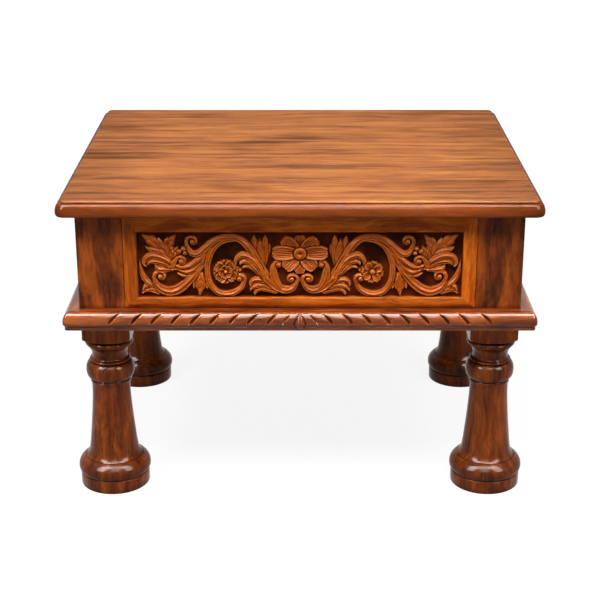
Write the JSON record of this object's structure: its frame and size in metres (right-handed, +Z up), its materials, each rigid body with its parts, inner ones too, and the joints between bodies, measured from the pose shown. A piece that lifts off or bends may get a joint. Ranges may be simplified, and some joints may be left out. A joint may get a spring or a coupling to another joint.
{
  "type": "bajot low table",
  "caption": "Low wooden table with a moulded board top, carved scroll panels framed between corner posts, a rope moulding below and turned legs on round feet.",
  "frame": {"origin": "on the floor under the middle of the table", "axes": "+X along the long side to the right, +Y from front to back, +Z up"},
  "size_m": [0.6, 0.4998, 0.414],
  "materials": {
    "top_wood": "glossy varnish, straight warm brown grain",
    "frame_wood": "glossy varnish, orange brown grain",
    "dark_wood": "glossy varnish, dark streaked grain",
    "leg_wood": "glossy varnish, dark streaked grain, turned",
    "carved_wood": "varnished carving, stained dark in the ground",
    "plain_wood": "unvarnished",
    "screw_steel": "plain zinc"
  },
  "bodies": {
    "root": {"top_board_1": "top_wood", "top_board_2": "top_wood", "top_board_3": "top_wood", "top_board_4": "top_wood", "top_board_5": "top_wood", "corner_post_front_left": "dark_wood", "corner_post_front_right": "dark_wood", "corner_post_back_right": "dark_wood", "corner_post_back_left": "dark_wood", "post_dowel_front_left_1": "plain_wood", "post_dowel_front_left_2": "plain_wood", "post_dowel_front_right_1": "plain_wood", "post_dowel_front_right_2": "plain_wood", "post_dowel_back_right_1": "plain_wood", "post_dowel_back_right_2": "plain_wood", "post_dowel_back_left_1": "plain_wood", "post_dowel_back_left_2": "plain_wood", "frame_top_rail_front": "frame_wood", "frame_bottom_rail_front": "frame_wood", "frame_stile_left_front": "frame_wood", "frame_stile_right_front": "frame_wood", "frame_top_rail_right": "frame_wood", "frame_bottom_rail_right": "frame_wood", "frame_stile_left_right": "frame_wood", "frame_stile_right_right": "frame_wood", "frame_top_rail_back": "frame_wood", "frame_bottom_rail_back": "frame_wood", "frame_stile_left_back": "frame_wood", "frame_stile_right_back": "frame_wood", "frame_top_rail_left": "frame_wood", "frame_bottom_rail_left": "frame_wood", "frame_stile_left_left": "frame_wood", "frame_stile_right_left": "frame_wood", "carved_panel_front": "carved_wood", "carved_panel_right": "carved_wood", "carved_panel_back": "carved_wood", "carved_panel_left": "carved_wood", "base_board_front": "dark_wood", "base_board_right": "dark_wood", "base_board_back": "dark_wood", "base_board_left": "dark_wood", "leg_front_left": "leg_wood", "leg_front_right": "leg_wood", "leg_back_right": "leg_wood", "leg_back_left": "leg_wood", "top_cleat_front": "plain_wood", "top_cleat_right": "plain_wood", "top_cleat_back": "plain_wood", "top_cleat_left": "plain_wood", "cleat_screw_front_1": "screw_steel", "cleat_screw_front_2": "screw_steel", "cleat_screw_right_1": "screw_steel", "cleat_screw_right_2": "screw_steel", "cleat_screw_back_1": "screw_steel", "cleat_screw_back_2": "screw_steel", "cleat_screw_left_1": "screw_steel", "cleat_screw_left_2": "screw_steel"}
  },
  "joints": []
}
